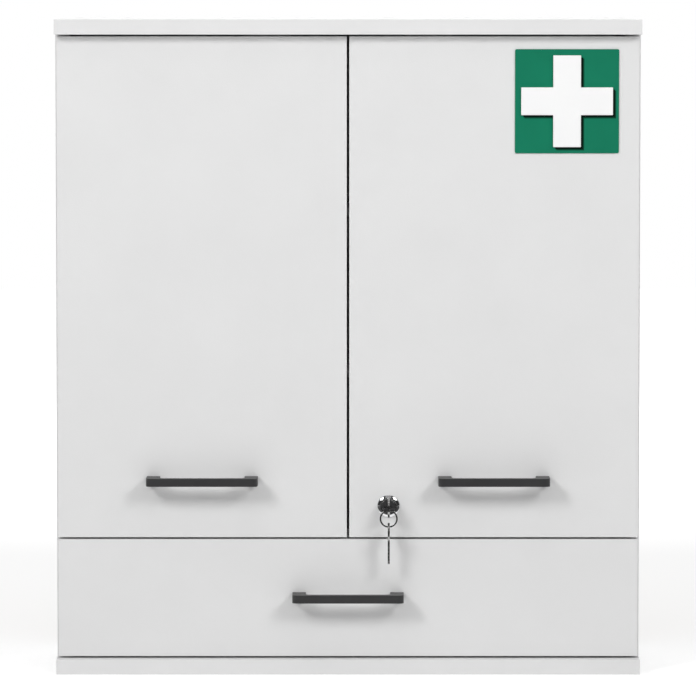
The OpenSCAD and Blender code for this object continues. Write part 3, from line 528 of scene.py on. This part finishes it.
def second_key():
    """The same key again, hanging straight down from the lowest point of the ring."""
    key_low, key_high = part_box("key")
    ring_low, ring_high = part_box("key_ring")
    wire = ring_high.y - ring_low.y
    middle = (key_low + key_high) / 2
    hole = Vector((middle.x, key_low.y + BOW_HOLE_IN, middle.z))
    hang = Vector((middle.x, (ring_low.y + ring_high.y) / 2, ring_low.z + wire - BOW_HOLE_R))
    upright = Matrix.Rotation(math.radians(-90), 4, "X")
    down = Matrix.Translation(hang) @ upright @ Matrix.Translation(-hole)
    bm = node_bmesh("key")
    bmesh.ops.transform(bm, matrix=down, verts=bm.verts)
    sharp = [e for e in bm.edges if e.calc_face_angle(0) > EASE_ANGLE]
    bmesh.ops.bevel(bm, geom=sharp, offset=KEY_EASE, segments=2, profile=0.5, affect="EDGES")
    obj = as_object("second_key", bm, MATERIALS["key_nickel"])
    smooth(obj)
    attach(obj, "key_ring")


second_key()


# ------------------------------------------------------------------- stage
WORLD_LIGHT = 0.30
FLOOR_RADIUS = 6.0
FLOOR_GREY = 0.86
# Glow of the floor as the camera sees it: low round the cabinet, where its
# shadow falls, and higher where the lamps no longer reach.
GLOW_NEAR, GLOW_FAR = 0.44, 0.75
NEAR_RADIUS, FAR_RADIUS = 1.0, 2.4


def camera_mask(tree):
    """1 for camera, glossy and transmission rays, else 0."""
    path = tree.nodes.new("ShaderNodeLightPath")
    seen = calculate(tree, "MAXIMUM", path.outputs["Is Camera Ray"], path.outputs["Is Glossy Ray"])
    return calculate(tree, "MAXIMUM", seen, path.outputs["Is Transmission Ray"])


def make_world():
    """White room to the camera, and a weaker light on the object."""
    world = bpy.data.worlds.new("studio")
    bpy.context.scene.world = world
    world.use_nodes = True
    tree = world.node_tree
    light = tree.nodes["Background"]
    seen = tree.nodes.new("ShaderNodeBackground")
    for background, strength in ((light, WORLD_LIGHT), (seen, 1.0)):
        background.inputs["Color"].default_value = (1, 1, 1, 1)
        background.inputs["Strength"].default_value = strength
    mix = tree.nodes.new("ShaderNodeMixShader")
    tree.links.new(camera_mask(tree), mix.inputs["Fac"])
    tree.links.new(light.outputs["Background"], mix.inputs[1])
    tree.links.new(seen.outputs["Background"], mix.inputs[2])
    tree.links.new(mix.outputs["Shader"], tree.nodes["World Output"].inputs["Surface"])


def make_floor():
    """Pale round floor that looks white outside the object's shadow."""
    bm = bmesh.new()
    bmesh.ops.create_circle(bm, cap_ends=True, segments=96, radius=FLOOR_RADIUS)
    mat, tree, shader = new_material("floor", 0.8, specular=0.0)
    shader.inputs["Base Color"].default_value = (FLOOR_GREY, FLOOR_GREY, FLOOR_GREY, 1)
    away = tree.nodes.new("ShaderNodeVectorMath")
    away.operation = "LENGTH"
    tree.links.new(object_point(tree), away.inputs[0])
    rise = map_range(tree, away.outputs["Value"], (NEAR_RADIUS, FAR_RADIUS),
                     (GLOW_NEAR, GLOW_FAR))
    glow = tree.nodes.new("ShaderNodeEmission")
    tree.links.new(calculate(tree, "MULTIPLY", camera_mask(tree), rise), glow.inputs["Strength"])
    both = tree.nodes.new("ShaderNodeAddShader")
    tree.links.new(shader.outputs["BSDF"], both.inputs[0])
    tree.links.new(glow.outputs["Emission"], both.inputs[1])
    tree.links.new(both.outputs["Shader"], tree.nodes["Material Output"].inputs["Surface"])
    floor = as_object("floor", bm, mat)


# ----------------------------------------------- what only reflections show
ROOM_GREY = (0.05, 0.05, 0.05, 1)
DOME_RADIUS = 3.6
DOME_HALF_ANGLE = 100
DOME_TOP_ANGLE = 88
DOME_SIDES, DOME_LEVELS = 32, 12
DARK_FLOOR_FROM = 0.3
DARK_FLOOR_HALF_W = 2
DARK_FLOOR_LIFT = 0.004
PANEL_AWAY = 3.3
PANEL_ANGLES = (30, 50)
PANEL_HALF_W = 0.7
PANEL_GLOW = 0.4


def reflected_only(obj):
    """Marks a stage piece that nothing but glossy reflections see."""
    obj.visible_camera = False
    obj.visible_diffuse = False
    obj.visible_transmission = False
    obj.visible_shadow = False


def make_dark_room():
    """The unlit room in front of the cabinet, a dome and floor that only reflections show."""
    bm = bmesh.new()
    columns = []
    for side in range(DOME_SIDES + 1):
        turn = math.radians(DOME_HALF_ANGLE * (2 * side / DOME_SIDES - 1))
        column = []
        for level in range(DOME_LEVELS + 1):
            rise = math.radians(DOME_TOP_ANGLE * level / DOME_LEVELS)
            flat = DOME_RADIUS * math.cos(rise)
            place = (flat * math.sin(turn), -flat * math.cos(turn), DOME_RADIUS * math.sin(rise))
            column.append(bm.verts.new(place))
        columns.append(column)
    for here, after in zip(columns, columns[1:]):
        for level in range(DOME_LEVELS):
            bm.faces.new((here[level], after[level], after[level + 1], here[level + 1]))
    near, far, half = -DARK_FLOOR_FROM, -DOME_RADIUS, DARK_FLOOR_HALF_W
    corners = ((-half, far), (half, far), (half, near), (-half, near))
    bm.faces.new([bm.verts.new((x, y, DARK_FLOOR_LIFT)) for x, y in corners])
    mat, _, shader = new_material("dark_room", 0.9)
    shader.inputs["Base Color"].default_value = ROOM_GREY
    reflected_only(as_object("dark_room", bm, mat))


def make_dim_panel():
    """A dim ceiling panel over the camera, the grey patch at the top of the lock."""
    bm = bmesh.new()
    low, high = (math.radians(angle) for angle in PANEL_ANGLES)
    corners = ((low, -PANEL_HALF_W), (low, PANEL_HALF_W),
               (high, PANEL_HALF_W), (high, -PANEL_HALF_W))
    bm.faces.new([bm.verts.new((x, -PANEL_AWAY * math.cos(rise), PANEL_AWAY * math.sin(rise)))
                  for rise, x in corners])
    mat, _, shader = new_material("dim_panel", 0.9)
    shader.inputs["Base Color"].default_value = ROOM_GREY
    shader.inputs["Emission Color"].default_value = (1, 1, 1, 1)
    shader.inputs["Emission Strength"].default_value = PANEL_GLOW
    reflected_only(as_object("dim_panel", bm, mat))


make_world()
make_floor()
make_dark_room()
make_dim_panel()


# ------------------------------------------------------------------- lamps
AIM = (0, 0, 0.33)


def area_light(name, place, size, power):
    """Rectangular soft light at `place`, turned to AIM."""
    lamp = bpy.data.lights.new(name, "AREA")
    lamp.shape = "RECTANGLE"
    lamp.size, lamp.size_y = size
    lamp.energy = power
    obj = bpy.data.objects.new(name, lamp)
    bpy.context.scene.collection.objects.link(obj)
    obj.location = place
    obj.rotation_euler = (Vector(AIM) - Vector(place)).to_track_quat("-Z", "Y").to_euler()


area_light("soft_left", (-1.7, -2.3, 1.85), (0.9, 0.9), 34.5)
area_light("soft_right", (1.7, -2.3, 1.85), (0.9, 0.9), 29.4)
area_light("soft_top", (0, -0.9, 2.6), (1.6, 1.2), 6)
area_light("soft_back", (0, 2.6, 1.6), (1.4, 1.0), 14)


# ------------------------------------------------------------------ camera
FRAME_PX = 696
SENSOR = 36.0
CAMERA_Z = 0.700
CAMERA_Y = -5.098
CAMERA_TILT = 3.90
CAMERA_SHIFT = -0.05
FOCAL_PX = 5057


def make_camera():
    """The photo's view: from in front, a little higher than the cabinet and tilted down."""
    lens = bpy.data.cameras.new("camera")
    lens.sensor_width = SENSOR
    lens.lens = FOCAL_PX / FRAME_PX * SENSOR
    lens.shift_y = CAMERA_SHIFT
    lens.clip_end = 100
    camera = bpy.data.objects.new("camera", lens)
    bpy.context.scene.collection.objects.link(camera)
    camera.location = (0, CAMERA_Y, CAMERA_Z)
    camera.rotation_euler = (math.radians(90 - CAMERA_TILT), 0, 0)
    bpy.context.scene.camera = camera


make_camera()
bpy.context.scene.view_settings.view_transform = "Standard"
